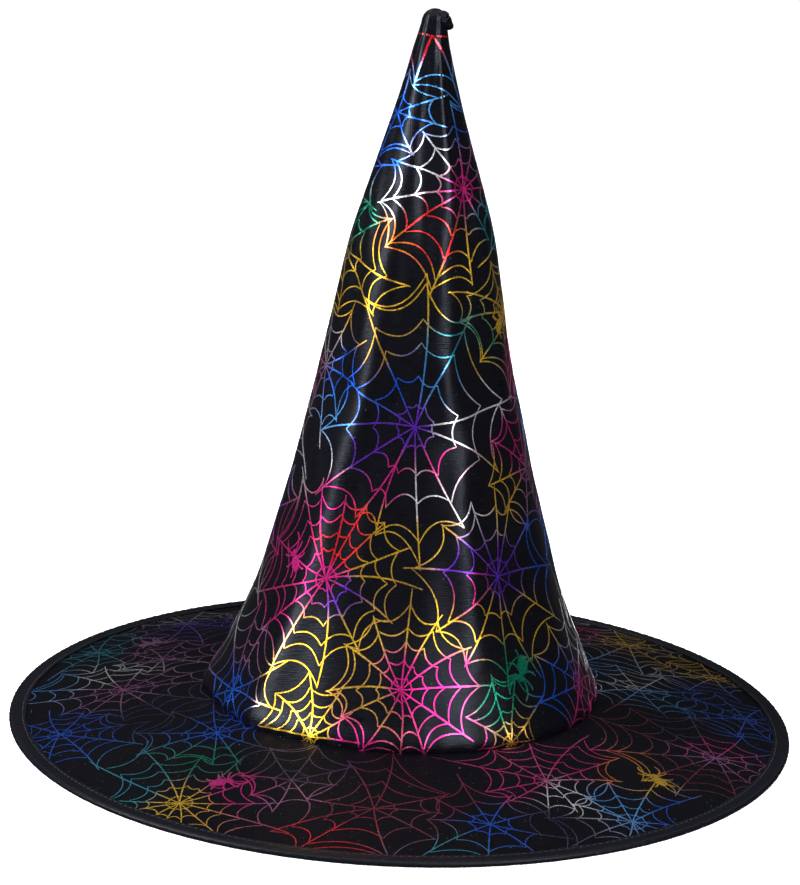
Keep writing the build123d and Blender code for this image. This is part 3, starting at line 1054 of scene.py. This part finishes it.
# %% [markdown]
# ## Inside of the hat
#
# The two allowances of the back seam are pressed open and held by nothing else, so their raw
# edges wave and lift a little. The sweatband is a ribbed ribbon whose end laps over its start
# at the back. A blank care label, folded in two, hangs above it.

# %% Seam allowances
allowance_low, allowance_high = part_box("back_seam_allowances")
ALLOWANCE = 1.35 * MM


def allowance(name, side):
    """One pressed-open allowance. side is 1 for +X and -1 for -X."""
    def spot(u, v):
        level = allowance_low.z + v * (allowance_high.z - allowance_low.z)
        high = level / MM
        width = 8 + 0.35 * np.sin(high / 5.3 + side) + 0.25 * np.sin(high / 11.7)
        aside = 0.4 + u * width
        radius = np.interp(level, crown_levels, crown_radii) - lining_depth
        return 180 - side * np.degrees(aside * MM / radius), level, high

    def place(u, v):
        turn, level, high = spot(u, v)
        lift = 0.5 * u ** 2 * (1 + np.sin(high / 14 + 2 * side)) * MM
        return crown_place(turn, level, lining_depth + ALLOWANCE + PLY_GAP + lift * (u > 0))

    def flat(u, v):
        return crown_map(*spot(u, v)[:2])

    strip = lay_sheet(name, (10, 120), place, flat, looks_inward, ALLOWANCE)
    dress(strip, black_felt, "interlining", "back_seam_allowances")
    return strip


def looks_inward(centre, normal):
    return -looks_outward(centre, normal)


back_allowance_right = allowance("back_allowance_right", 1)
back_allowance_left = allowance("back_allowance_left", -1)

# %% Sweatband
RIBBON = 0.7 * MM
band_width = band_high.z - band_low.z


def ribbon_place(turn, share, lift=0.0):
    level = band_low.z + share * band_width
    lean = np.clip(level - bend_level, 0, None) * foot_lean
    wave = 0.25 * share ** 2 * np.sin(11 * np.radians(turn) + 1.1) * MM
    return spun(turn, head_radius - lean - lift - np.maximum(wave, 0), level)


sweat_ribbon = lay_sheet(
    "sweat_ribbon", (300, 14),
    lambda u, v: ribbon_place(360 * u - 180, v),
    lambda u, v: strip_map(360 * u - 180, head_radius, v * band_width),
    looks_inward, RIBBON,
)
dress(sweat_ribbon, ribbon, "ribbon", "sweatband")

# The ribbon's lap spans this many degrees to each side of the back.
BAND_LAP_TURN = 4.5
ribbon_lap = lay_sheet(
    "ribbon_lap", (12, 14),
    lambda u, v: ribbon_place(
        180 + BAND_LAP_TURN * (2 * u - 1), v, RIBBON + PLY_GAP - 0.4 * MM * (1 - u) ** 6),
    lambda u, v: strip_map(BAND_LAP_TURN * (2 * u - 1), head_radius, v * band_width),
    looks_inward, RIBBON,
)
dress(ribbon_lap, ribbon, "ribbon", "sweatband")

# %% Care label
label_low, label_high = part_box("care_label")
label_width = label_high.x - label_low.x
label_rise = label_high.z - label_low.z
label_depth = lining_depth + ALLOWANCE + 2 * PLY_GAP
LEAF = 0.2 * MM
LABEL_FOLD = 0.3 * MM


def label_place(u, v):
    """A tape folded in two: v runs down the front leaf, round the fold and up the back one."""
    walk = 2 * v - 1
    level = label_low.z + LABEL_FOLD + np.abs(walk) * (label_rise - LABEL_FOLD)
    front = walk < 0
    gap = np.where(front, 0.5, 0.2) * MM * np.clip(np.abs(walk) * 12, 0, 1)
    curl = (0.9 * (1 - np.abs(walk)) ** 2 + 0.2 * np.sin(5 * u + 3 * walk)) * MM
    radius = np.interp(level, crown_levels, crown_radii)
    turn = 180 + np.degrees((u - 0.5) * label_width / radius)
    return crown_place(turn, level, label_depth + gap + np.maximum(curl, 0))


care_label = lay_sheet(
    "care_label_tape", (18, 56), label_place,
    lambda u, v: np.stack([v * 2 * label_rise, u * label_width], axis=1) / TAPE_MAP,
    looks_inward, LEAF,
)
dress(care_label, label_tape, "label_tape", "care_label")

# %% Wire, sleeve and hidden thread
for node, finish in (("brim_wire", spring_steel), ("wire_sleeve", sleeve_brass),
                     ("neck_seam_thread", black_thread), ("tip_tacks", black_thread)):
    obj = frame["nodes"][node]
    obj.data.materials.clear()
    obj.data.materials.append(finish)
    print(node, "has the finish", finish.name)

# %% [markdown]
# ## Web print
#
# The foil print is pressed on the flat satin before it is cut, so it is drawn on the flat cut
# too, in millimetres, and then carried to the sewn cloth by the same function as the satin.
# Each web has a centre, spokes that run until another web is nearer, and rings that sag
# between two spokes. A line is a very thin closed ribbon that stands a hair proud of the
# satin. Ribbons of that kind follow other lines, which no primitive can do, so their corners
# are worked out here and given to the mesh at once.

# %% Lines of one web
# Widths of the lines, the step along one and the longest spoke, in millimetres on the flat
# cloth. Then the widest gap between two spokes that a ring still crosses, and the most rings.
printer = random.Random(31)
CROWN_LINE, BRIM_LINE = 0.78, 0.6
FOIL_STEP = 1.5
LONGEST_SPOKE = 95
WIDEST_GAP = math.radians(105)
RINGS = 16


def bowed(start, end, bow):
    """Points every millimetre or two from start to end, pushed aside by bow at the middle."""
    start, end = np.array(start, float), np.array(end, float)
    count = max(2, int(math.dist(start, end) / FOIL_STEP) + 2)
    share = np.linspace(0, 1, count)[:, None]
    return start + (end - start) * share + 4 * share * (1 - share) * np.array(bow)


def reach_of(centre, way, limit, own, rivals, inside):
    """How far a spoke runs before it leaves the cloth or comes nearer to another web."""
    walked = np.arange(3.0, limit, 1.0)
    spots = centre + walked[:, None] * way
    stops = ~inside(spots)
    for spot, weight in rivals:
        stops |= np.hypot(*(spots - spot).T) / weight < walked / own
    return walked[np.argmax(stops)] * 1.08 if stops.any() else limit


def spin_web(centre, pitch, weight, spokes, tilt, width, rivals, inside):
    """Ribbon centre lines (points, width) of one web. tilt turns it on the flat cloth."""
    if isinstance(spokes, int):
        turns = [360 / spokes * (step + printer.uniform(-0.22, 0.22)) for step in range(spokes)]
    else:
        turns = sorted(spokes)
    turns = [math.radians(turn + tilt) for turn in turns]
    ways = [np.array([math.cos(turn), math.sin(turn)]) for turn in turns]
    reaches = [reach_of(centre, way, LONGEST_SPOKE, weight, rivals, inside) for way in ways]
    lines = []
    for way, reach in zip(ways, reaches):
        end = centre + way * (reach + printer.uniform(0, 1.5))
        bow = reach * printer.uniform(-0.05, 0.05) * np.array([-way[1], way[0]])
        lines.append((bowed(centre, end, bow), width))
    rings = [pitch * (step + 1) ** 1.18 for step in range(RINGS)]
    places = [[ring * printer.uniform(0.92, 1.08) for ring in rings] for _ in ways]
    for one in range(len(ways)):
        other = (one + 1) % len(ways)
        gap = (turns[other] - turns[one]) % math.tau
        if gap > WIDEST_GAP:
            continue
        overrun = 0
        for ring in range(RINGS):
            near, far = places[one][ring], places[other][ring]
            closing = near > reaches[one] and far > reaches[other]
            overrun += (near > reaches[one]) or (far > reaches[other])
            if overrun > 1:
                break
            near, far = min(near, reaches[one]), min(far, reaches[other])
            start, end = centre + near * ways[one], centre + far * ways[other]
            sag = printer.uniform(0.05, 0.11) + 0.08 * gap
            middle = (start + end) / 2
            rival = min(rivals, key=lambda pair: math.dist(pair[0], middle))[0]
            # Of two webs that meet, only one draws the ring that closes them off.
            if closing and rival[0] > centre[0]:
                continue
            lines.append((bowed(start, end, (middle - centre) * -sag), width * 0.8))
    return lines


def spin_webs(webs, centres, tilts, width, inside):
    """Ribbon centre lines of all webs of one cloth."""
    lines = []
    for (_, _, pitch, weight, spokes), centre, tilt in zip(webs, centres, tilts):
        rivals = [(spot, web[3]) for spot, web in zip(centres, webs) if spot is not centre]
        lines += spin_web(centre, pitch, weight, spokes, tilt, width, rivals, inside)
    return lines


def report_lines(cloth, lines):
    steps = sum(len(points) for points, _ in lines)
    print(len(lines), cloth, "lines,", round(steps * FOIL_STEP), "mm")


def draw_spider(centre, heading, size, inside):
    """A plain spider: two round blobs, filled with strips side by side, and eight bent legs."""
    ahead = np.array([math.cos(heading), math.sin(heading)])
    aside = np.array([-ahead[1], ahead[0]])
    lines = []
    for middle, half_long, half_wide in ((-0.5, 0.55, 0.4), (0.3, 0.28, 0.25)):
        for share in np.linspace(-0.8, 0.8, 5):
            chord = half_long * math.sqrt(1 - share ** 2)
            spot = centre + size * (middle * ahead + share * half_wide * aside)
            lines.append((bowed(spot - chord * size * ahead, spot + chord * size * ahead, (0, 0)),
                          half_wide * size * 0.5))
    for side in (-1, 1):
        for turn, length in ((25, 1.5), (62, 1.2), (108, 1.2), (150, 1.55)):
            out = math.cos(math.radians(turn)) * ahead + side * math.sin(math.radians(turn)) * aside
            root = centre + 0.2 * size * ahead
            lines.append((bowed(root, root + length * size * out, 0.22 * size * length * side * (
                aside if turn < 90 else -ahead * side)), 0.12 * size))
    return [line for line in lines if inside(line[0]).all()]


# %% Webs of the crown
# Turn, height, ring pitch, weight against its neighbours, and the spokes: their number, or
# their directions in degrees, 0 to the right and 90 towards the tip.
CROWN_WEBS = [
    (0, 160, 10.5, 1.35, (88, 114, 149, 181, 210, 235, 250, 275, 301, 340, 18, 63)),
    (44, 267, 6.2, 1.0, (178, 148, 117, 90, 62, 33, 5, -35, -65, -92, -118, -153)),
    (38, 91, 9.0, 1.0, (0, 38, 64, 83, 108, 135, 168, 208, 235, 265, 290, 330)),
    (-34, 88, 6.0, 1.0, (5, 28, 50, 68, 86, 106, 128, 165, 195, 220, 250, 280, 310, 340)),
    (-4, 336, 22.0, 0.85, (8, 172, 300, 256)), (-1, 44, 5.8, 0.9, 12),
    (70, 135, 7.0, 0.8, 10), (33, 19, 4.6, 0.6, 10),
    (-61, 27, 7.0, 0.8, 10), (-70, 180, 8.0, 0.85, 10), (68, 33, 6.5, 0.7, 10),
    (-26, 20, 4.6, 0.6, 10), (-62, 300, 8.5, 0.7, 8), (78, 207, 6.0, 0.8, 10),
    (-80, 235, 7.0, 0.8, 10),
    (110, 250, 7.5, 1.0, 11), (-120, 265, 7.5, 0.9, 10), (-150, 212, 7.5, 1.0, 11),
    (148, 200, 7.5, 1.0, 12), (-108, 158, 6.5, 1.0, 12), (112, 160, 7.0, 0.9, 11),
    (178, 148, 6.5, 0.8, 11), (-150, 122, 7.5, 1.0, 12), (-100, 98, 6.0, 0.9, 12),
    (118, 92, 7.0, 1.1, 12), (158, 66, 6.5, 0.9, 11), (-163, 62, 6.5, 0.9, 11),
    (-118, 42, 6.5, 0.9, 11), (98, 28, 6.0, 0.7, 11), (135, 22, 5.5, 0.8, 11),
    (-145, 20, 5.5, 0.7, 11),
]


def crown_spot(turn, height):
    """A point of the crown's flat cut in millimetres, from a turn and a height in millimetres."""
    return crown_flat(np.array([float(turn)]), np.array([height * MM]))[0] / MM


def crown_unroll(spots):
    """Turn and level of points on the flat cut."""
    slant = np.hypot(*spots.T) * MM
    swing = np.degrees(np.arctan2(spots[:, 0], -spots[:, 1]))
    level = np.interp(crown_length - slant, crown_lengths, crown_levels)
    return swing / CLOTH_PER_TURN, level


def on_crown(spots):
    turn, level = crown_unroll(spots)
    slant = np.hypot(*spots.T) * MM
    return (np.abs(turn) < 179.4) & (slant > 7 * MM) & (slant < crown_length - 1.2 * MM)


# Turn, height, heading in radians and size in millimetres.
CROWN_SPIDERS = [(-52, 93, 2.0, 7.0), (66, 205, 1.2, 6.0), (42, 47, 4.4, 8.0),
                 (-118, 190, 1.0, 6.5), (128, 130, 2.6, 6.5)]
crown_centres = [crown_spot(turn, height) for turn, height, *_ in CROWN_WEBS]
crown_tilts = [turn * CLOTH_PER_TURN for turn, *_ in CROWN_WEBS]
crown_lines = spin_webs(CROWN_WEBS, crown_centres, crown_tilts, CROWN_LINE, on_crown)
for turn, height, heading, size in CROWN_SPIDERS:
    crown_lines += draw_spider(crown_spot(turn, height), heading, size, on_crown)
report_lines("crown", crown_lines)

# %% Webs of the brim
# Place across and along in millimetres, ring pitch, weight and number of spokes.
BRIM_WEBS = [
    (-135, -5, 7.5, 1.1, 13), (-114, 112, 7.0, 1.0, 12), (-155, 67, 7.0, 0.9, 11),
    (-160, -55, 6.5, 0.9, 11), (-85, -72, 7.0, 0.8, 11), (-97, -136, 6.5, 1.2, 13),
    (-10, -145, 10.5, 1.0, 9), (42, -152, 9.5, 0.9, 9), (68, -108, 6.5, 0.9, 11),
    (150, -55, 7.0, 1.1, 12), (170, 5, 6.5, 0.8, 10), (118, 108, 7.0, 1.1, 12),
    (106, -135, 7.0, 1.0, 12), (118, 20, 7.0, 0.8, 10), (60, 155, 7.5, 1.0, 12),
    (5, 122, 7.0, 0.9, 11), (-40, 165, 7.0, 0.9, 11), (-70, 118, 7.0, 0.8, 10),
    (160, 70, 6.5, 0.8, 10), (-120, 40, 6.5, 0.7, 10), (-48, -118, 9.0, 0.7, 8),
]


def on_brim(spots):
    reach = np.hypot(*spots.T) * MM
    return (reach > base_radius + 0.6 * MM) & (reach < tape_inner + 0.6 * MM)


# Place across and along, heading in radians and size in millimetres.
BRIM_SPIDERS = [(120, -88, 2.0, 7.0), (-128, 75, 0.6, 7.5), (-40, 150, 5.0, 7.0),
                (-78, -118, 0.3, 6.5)]
brim_centres = [np.array(web[:2], float) for web in BRIM_WEBS]
# Each tilt is drawn just before its web is spun.
brim_tilts = (printer.uniform(0, 40) for _ in BRIM_WEBS)
brim_lines = spin_webs(BRIM_WEBS, brim_centres, brim_tilts, BRIM_LINE, on_brim)
for x, y, heading, size in BRIM_SPIDERS:
    brim_lines += draw_spider(np.array([x, y], float), heading, size, on_brim)
report_lines("brim", brim_lines)

# %% [markdown]
# ## Foil colours
#
# The foil changes colour over a few centimetres, in patches that don't follow the webs. Each
# patch is a point with a colour, and every corner of the print takes a blend of the patches
# near it. The blend is kept in a colour attribute of the print.

# %% Patches of colour
FOIL = {
    "red": (0.8, 0.02, 0.03), "orange": (0.95, 0.22, 0.02), "yellow": (0.9, 0.55, 0.03),
    "green": (0.0, 0.28, 0.16), "teal": (0.02, 0.35, 0.45), "blue": (0.01, 0.13, 0.8),
    "sky": (0.1, 0.42, 0.95), "violet": (0.16, 0.03, 0.6), "magenta": (0.75, 0.02, 0.27),
    "white": (0.9, 0.9, 0.95), "silver": (0.5, 0.52, 0.55), "mauve": (0.4, 0.14, 0.34),
    "gold": (0.6, 0.34, 0.05), "ember": (0.22, 0.02, 0.05), "dusk": (0.05, 0.04, 0.12),
}
CROWN_PATCHES = {
    "red": [(5, 340), (-30, 330), (-5, 255), (15, 240), (-25, 110), (-30, 100), (140, 120)],
    "orange": [(-30, 245), (120, 210), (-140, 90)],
    "yellow": [(40, 235), (-40, 235), (-15, 220), (15, 225), (65, 205), (-70, 210), (40, 190),
               (45, 130), (-10, 110), (10, 110), (-15, 95), (-30, 60), (-35, 40), (-20, 70),
               (10, 75), (30, 75), (50, 65), (-25, 20), (130, 45), (-120, 150), (160, 230)],
    "green": [(-55, 250), (50, 200), (40, 50), (30, 35), (110, 100), (-150, 180)],
    "teal": [(75, 250), (25, 195), (170, 170), (-110, 60)],
    "blue": [(-35, 300), (80, 295), (-40, 280), (-45, 180), (-10, 180), (70, 95), (-60, 25),
             (55, 35), (120, 280), (-120, 230), (150, 60), (-160, 40)],
    "sky": [(0, 320), (20, 305), (15, 180), (-45, 155), (100, 150), (-170, 260)],
    "violet": [(0, 160), (-25, 150), (20, 100), (40, 90), (-25, 80), (120, 170), (-100, 110)],
    "magenta": [(40, 270), (80, 185), (60, 150), (-10, 135), (-40, 125), (15, 145), (-55, 95),
                (-35, 90), (25, 85), (-55, 70), (0, 45), (15, 45), (-15, 20), (65, 20),
                (20, 20), (-90, 190), (160, 20), (-150, 110), (150, 270)],
    "white": [(0, 280), (-25, 265), (20, 160), (45, 170), (-50, 140), (5, 130), (30, 130),
              (-170, 140), (90, 60)],
    "silver": [(-80, 195), (-85, 60), (140, 150)],
    "mauve": [(80, 280), (80, 130), (-60, 50), (-100, 30), (120, 20)],
    "gold": [(-25, 195), (0, 85), (-10, 40), (35, 20), (170, 100)],
}
BRIM_PATCHES = {
    "silver": [(-115, 145), (150, 120)], "teal": [(-155, 65), (-120, -120), (20, -170)],
    "mauve": [(-125, 60), (-135, -5), (-45, -135), (150, -55), (0, 130)],
    "violet": [(-100, 95), (60, 120)], "green": [(-85, -100), (-60, 150)],
    "blue": [(-160, -55), (-80, -65), (40, -150), (130, -120), (170, -20), (150, 20), (20, 165)],
    "yellow": [(-95, -135), (110, -95), (155, 100), (125, 130), (-20, 170)],
    "magenta": [(-75, -125), (55, -115), (150, -45), (85, -85), (90, 140)],
    "red": [(-30, -165), (-80, 160)], "white": [(75, -125), (105, 155), (-150, 20), (112, 30)],
    "sky": [(100, -115), (-170, 20), (125, 12), (95, 40)], "orange": [(100, -90), (40, 140)],
    "ember": [(0, -122), (25, -135), (-25, -150), (15, -165), (140, -75), (110, -30)],
    "dusk": [(-110, -40), (-40, -110), (70, -140), (135, -30), (-60, -95)],
}


def patch_colours(spots, patches, painted_shade_factor):
    """Colour at each flat spot, blended from the patches by nearness and multiplied by
    painted_shade_factor, which is painted shade over the whole print.
    """
    total = np.zeros((len(spots), 3))
    weights = np.zeros((len(spots), 1))
    for name, places in patches.items():
        for place in places:
            near = 1 / (45 + ((spots - place) ** 2).sum(axis=1, keepdims=True)) ** 3.4
            total += near * np.array(FOIL[name]) * painted_shade_factor
            weights += near
    return total / weights


# %% Press the foil on
def foil_ribbons(name, lines, lay, colours, chart, node):
    """One mesh of closed ribbons. lay carries flat spots to the cloth, a depth below its face."""
    lefts, rights, faces = [], [], []
    start = 0
    for spots, width in lines:
        way = np.gradient(spots, axis=0)
        way /= np.hypot(*way.T)[:, None] + 1e-9
        aside = np.stack([-way[:, 1], way[:, 0]], axis=1)
        count = len(spots)
        taper = 1 - 0.35 * np.abs(np.linspace(-1, 1, count)) ** 6
        half = (width / 2 * taper * (1 + 0.1 * np.sin(spots.sum(axis=1) * 0.9)))[:, None]
        lefts.append(spots + aside * half)
        rights.append(spots - aside * half)
        first = start + 4 * np.arange(count - 1)[:, None]
        for side in range(4):
            ahead = (side + 1) % 4
            faces.append(first + np.array([[side, ahead, ahead + 4, side + 4]]))
        faces.append(np.array([[start + 3, start + 2, start + 1, start]]))
        faces.append(start + 4 * (count - 1) + np.array([[0, 1, 2, 3]]))
        start += 4 * count
    left, right, faces = np.concatenate(lefts), np.concatenate(rights), np.concatenate(faces)
    proud, sunk = -0.08 * MM, 0.06 * MM
    rows = [lay(left, proud), lay(right, proud), lay(right, sunk), lay(left, sunk)]
    mesh = bpy.data.meshes.new(name)
    mesh.from_pydata(np.stack(rows, axis=1).reshape(-1, 3), [], faces.tolist())
    shades = np.repeat(colours((left + right) / 2), 4, axis=0)
    shade = mesh.color_attributes.new("foil_colour", "FLOAT_COLOR", "POINT")
    shade.data.foreach_set("color", np.column_stack([shades, np.ones(len(shades))]).ravel())
    marks = np.stack([left, right, right, left], axis=1).reshape(-1, 2)
    layer = mesh.uv_layers.new(name="OFBake")
    layer.data.foreach_set("uv", chart(marks)[faces.ravel()].ravel())
    obj = bpy.data.objects.new(name, mesh)
    bpy.context.collection.objects.link(obj)
    dress(obj, foil, "printed_satin", node)
    return obj


def make_foil():
    """Metal foil in the print's own colours, with dull rubbed spots and painted glints: a fine
    grain darkens the colour between brighter specks.
    """
    material, tree = new_material("foil", Specular_IOR_Level=0.4, Metallic=0.92,
                                  Coat_Weight=0.4, Coat_Roughness=0.22)
    hue = add_node(tree, "VertexColor", {"layer_name": "foil_colour"}).outputs["Color"]
    place = add_node(tree, "TexCoord").outputs["Object"]
    grain = add_node(tree, "TexNoise", Vector=place, Scale=2600.0, Detail=2.0).outputs["Fac"]
    wear = use_group(tree, HANDLING, Vector=place, Scale=60.0)
    dull = blend_colours(tree, 0.55, hue, (0.05, 0.05, 0.06, 1))
    rubbed = maths(tree, "MULTIPLY", wear["Scuff"], 0.6)
    # Painted glints: where the fine grain is low, the foil's colour is taken towards black, so the
    # rest reads as glittering specks.
    painted_glint_mask = ramp(tree, grain, 0.62, 0.38, 0.0, 0.75)
    worn = blend_colours(tree, rubbed, hue, dull)
    dark = blend_colours(tree, 0.6, worn, (0, 0, 0, 1))
    return finished(material, blend_colours(tree, painted_glint_mask, worn, dark),
                    ramp(tree, grain, 0.3, 0.7, 0.2, 0.42), grain, 0.8, 0.16 * MM)


foil = make_foil()


def lay_on_crown(spots, depth):
    turn, level = crown_unroll(spots)
    return crown_place(turn, level, depth)


def lay_on_brim(spots, depth):
    turn = np.degrees(np.arctan2(spots[:, 0], -spots[:, 1]))
    return brim_place(turn, np.hypot(*spots.T) * MM, depth)


crown_flat_patches = {name: [crown_spot(*place) for place in places]
                      for name, places in CROWN_PATCHES.items()}
crown_print = foil_ribbons(
    "crown_print", crown_lines, lay_on_crown,
    lambda spots: patch_colours(spots, crown_flat_patches, 1.0),
    lambda spots: spots * MM / CROWN_MAP + CROWN_POINT, "crown_cloth",
)
# The brim's print gets painted shade: its colours are multiplied by 0.9, so it is darker than the
# crown's.
brim_print = foil_ribbons(
    "brim_print", brim_lines, lay_on_brim,
    lambda spots: patch_colours(spots, BRIM_PATCHES, 0.9),
    lambda spots: spots * MM / BRIM_MAP + 0.5, "brim_top_cloth",
)
